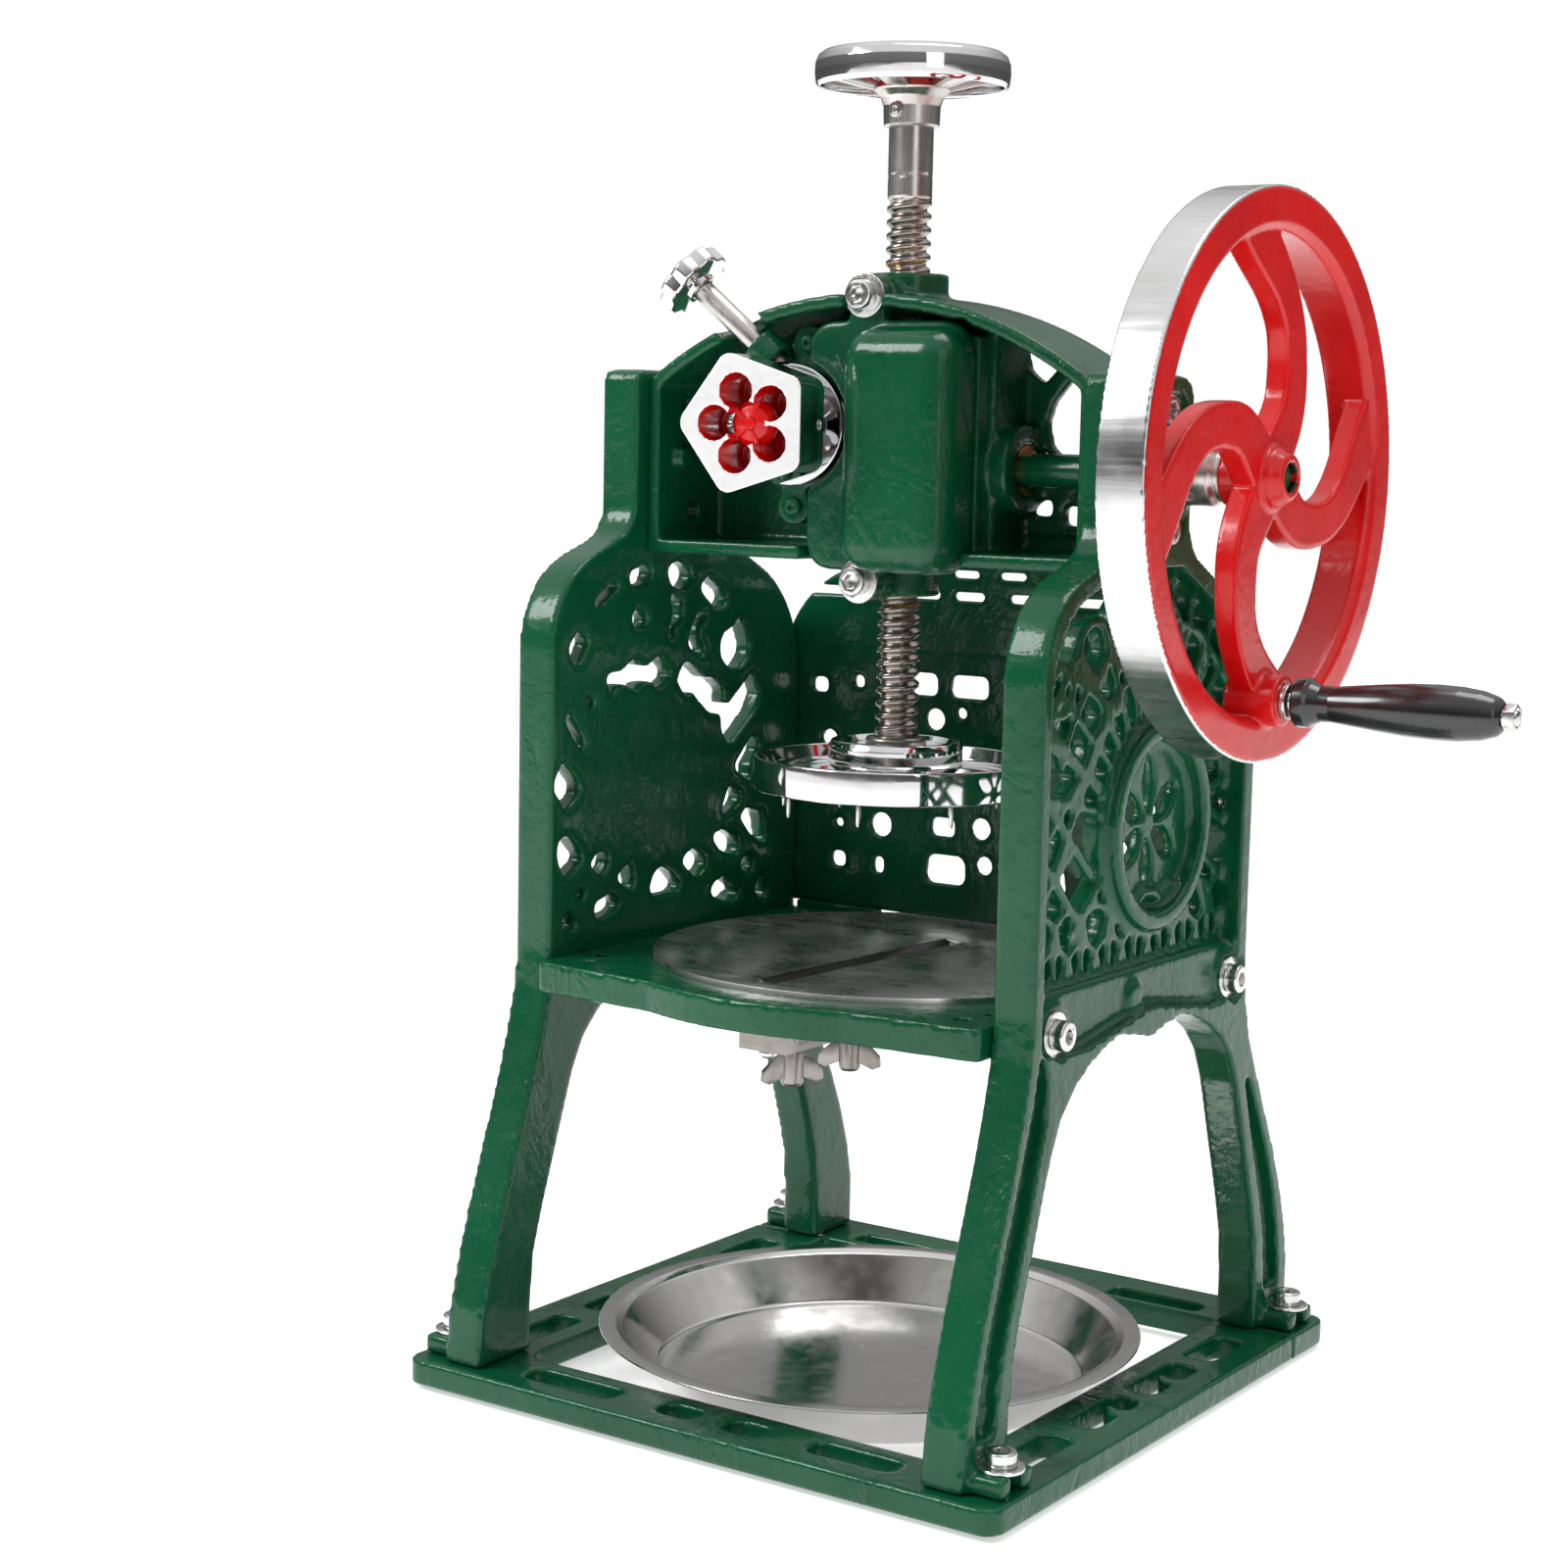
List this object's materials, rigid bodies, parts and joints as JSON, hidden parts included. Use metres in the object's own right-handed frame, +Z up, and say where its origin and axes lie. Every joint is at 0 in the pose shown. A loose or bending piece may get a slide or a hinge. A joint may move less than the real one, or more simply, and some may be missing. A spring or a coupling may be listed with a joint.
{
  "type": "hand-cranked ice shaver",
  "caption": "Cast-iron table-top ice shaver with side crank flywheel, vertical feed screw, spiked presser, blade plate and drip dish.",
  "frame": {"origin": "centre of the base between the four feet, on the surface the machine stands on", "axes": "+Z up along the spindle, +X towards the crank and flywheel, +Y to the back; the front with the feed knob faces -Y"},
  "size_m": [0.4475, 0.32, 0.6035],
  "materials": {
    "green_cast": "glossy green enamel on cast iron",
    "rubber": "matte",
    "bright_steel": "bright zinc",
    "brushed_plate": "brushed",
    "bronze": "satin",
    "gear_steel": "oiled steel",
    "chrome": "polished",
    "red_and_steel": "red enamel with machined bright faces",
    "black_plastic": "glossy",
    "black_rubber": "matte"
  },
  "bodies": {
    "stand": {"base_frame": "green_cast", "base_rear_bar": "green_cast", "rear_bar_screws": "bright_steel", "rubber_feet": "rubber", "left_side_frame": "green_cast", "right_side_frame": "green_cast", "back_panel": "green_cast", "back_panel_screws": "bright_steel", "table_casting": "green_cast", "blade_plate": "brushed_plate", "blade_bracket": "brushed_plate", "bracket_screws": "bright_steel", "foot_washers": "bright_steel", "foot_bolts": "bright_steel", "table_washers": "bright_steel", "table_bolts": "bright_steel", "bridge_washers": "bright_steel", "bridge_bolts": "bright_steel", "top_bridge": "green_cast", "gear_case_cover": "green_cast", "cover_washers": "bright_steel", "cover_bolts": "bright_steel", "feed_cap": "green_cast", "feed_cap_bolts": "green_cast", "crank_bushes": "bronze", "spindle_bushes": "bronze", "nut_thrust_rings": "bronze", "feed_shaft_bushes": "bronze"},
    "crank": {"crank_shaft": "green_cast", "bevel_pinion": "gear_steel", "shaft_collar": "gear_steel", "flywheel": "red_and_steel", "shaft_key": "gear_steel", "handle_pin": "bright_steel", "handle_nut": "bright_steel"},
    "grip": {"grip": "black_plastic"},
    "drive": {"bevel_gear": "gear_steel", "drive_key": "gear_steel"},
    "spindle": {"feed_screw": "gear_steel", "handwheel": "chrome", "handwheel_grub_screw": "bright_steel", "presser_disc": "chrome", "presser_collar": "chrome", "presser_nut": "black_rubber", "ice_spikes": "chrome"},
    "nut": {"feed_nut": "bronze"},
    "knob": {"feed_shaft": "gear_steel", "brake_drum": "chrome", "feed_knob": "red_and_steel", "knob_set_screw": "bright_steel"},
    "brake_shoe": {"brake_shoe": "black_rubber"},
    "brake_screw": {"brake_screw": "chrome", "brake_knob": "chrome"},
    "blade": {"blade": "brushed_plate"},
    "blade_screw_left": {"blade_screw_left": "brushed_plate"},
    "blade_screw_right": {"blade_screw_right": "brushed_plate"},
    "tray": {"ice_tray": "brushed_plate"}
  },
  "joints": [
    {"name": "crank_spin", "type": "hinge", "parent": "stand", "child": "crank", "pos_m": [0, 0, 0.42], "axis": [1, 0, 0], "continuous": true},
    {"name": "grip_spin", "type": "hinge", "parent": "crank", "child": "grip", "pos_m": [0.24, 0, 0.327], "axis": [1, 0, 0], "continuous": true},
    {"name": "spindle_spin", "type": "hinge", "parent": "stand", "child": "drive", "pos_m": [0, 0, 0.4], "axis": [0, 0, 1], "continuous": true},
    {"name": "spindle_feed", "type": "slide", "parent": "drive", "child": "spindle", "axis": [0, 0, 1], "range_m": [-0.0581, 0.0551]},
    {"name": "nut_spin", "type": "hinge", "parent": "stand", "child": "nut", "pos_m": [0, 0, 0.438], "axis": [0, 0, 1], "range_deg": [-3301, 3481]},
    {"name": "feed_knob", "type": "hinge", "parent": "stand", "child": "knob", "pos_m": [-0.0443, -0.0078, 0.438], "axis": [0.1736, -0.9848, 0], "range_deg": [-3480, 3300]},
    {"name": "brake_travel", "type": "slide", "parent": "stand", "child": "brake_shoe", "axis": [-0.7484, -0.132, 0.65], "range_m": [-0.00066, 0.00302]},
    {"name": "brake_turn", "type": "hinge", "parent": "brake_shoe", "child": "brake_screw", "pos_m": [-0.05639, -0.03481, 0.4735], "axis": [-0.7484, -0.132, 0.65], "range_deg": [-156, 720]},
    {"name": "blade_lift", "type": "slide", "parent": "stand", "child": "blade", "axis": [0, 0, 1], "range_m": [-0.00102, 0.00102]},
    {"name": "blade_turn_left", "type": "hinge", "parent": "stand", "child": "blade_screw_left", "pos_m": [-0.00151, -0.07688, 0.16], "axis": [0, 0, 1], "range_deg": [-360, 360]},
    {"name": "blade_turn_right", "type": "hinge", "parent": "stand", "child": "blade_screw_right", "pos_m": [0.00144, -0.03498, 0.16], "axis": [0, 0, 1], "range_deg": [-361, 361]},
    {"name": "tray_lift", "type": "slide", "parent": "stand", "child": "tray", "axis": [0, 0, 1], "range_m": [0, 0.1]}
  ],
  "couplings": [
    {"joint": "spindle_spin", "follows": "crank_spin", "ratio": 0.41667},
    {"joint": "nut_spin", "follows": "feed_knob", "ratio": -1},
    {"joint": "spindle_feed", "follows": "feed_knob", "m_per_rad": 0.00095493},
    {"joint": "brake_travel", "follows": "brake_turn", "m_per_rad": 0.00023873},
    {"joint": "blade_lift", "follows": "blade_turn_left", "m_per_rad": -0.00015915},
    {"joint": "blade_turn_right", "follows": "blade_turn_left", "ratio": 1}
  ]
}
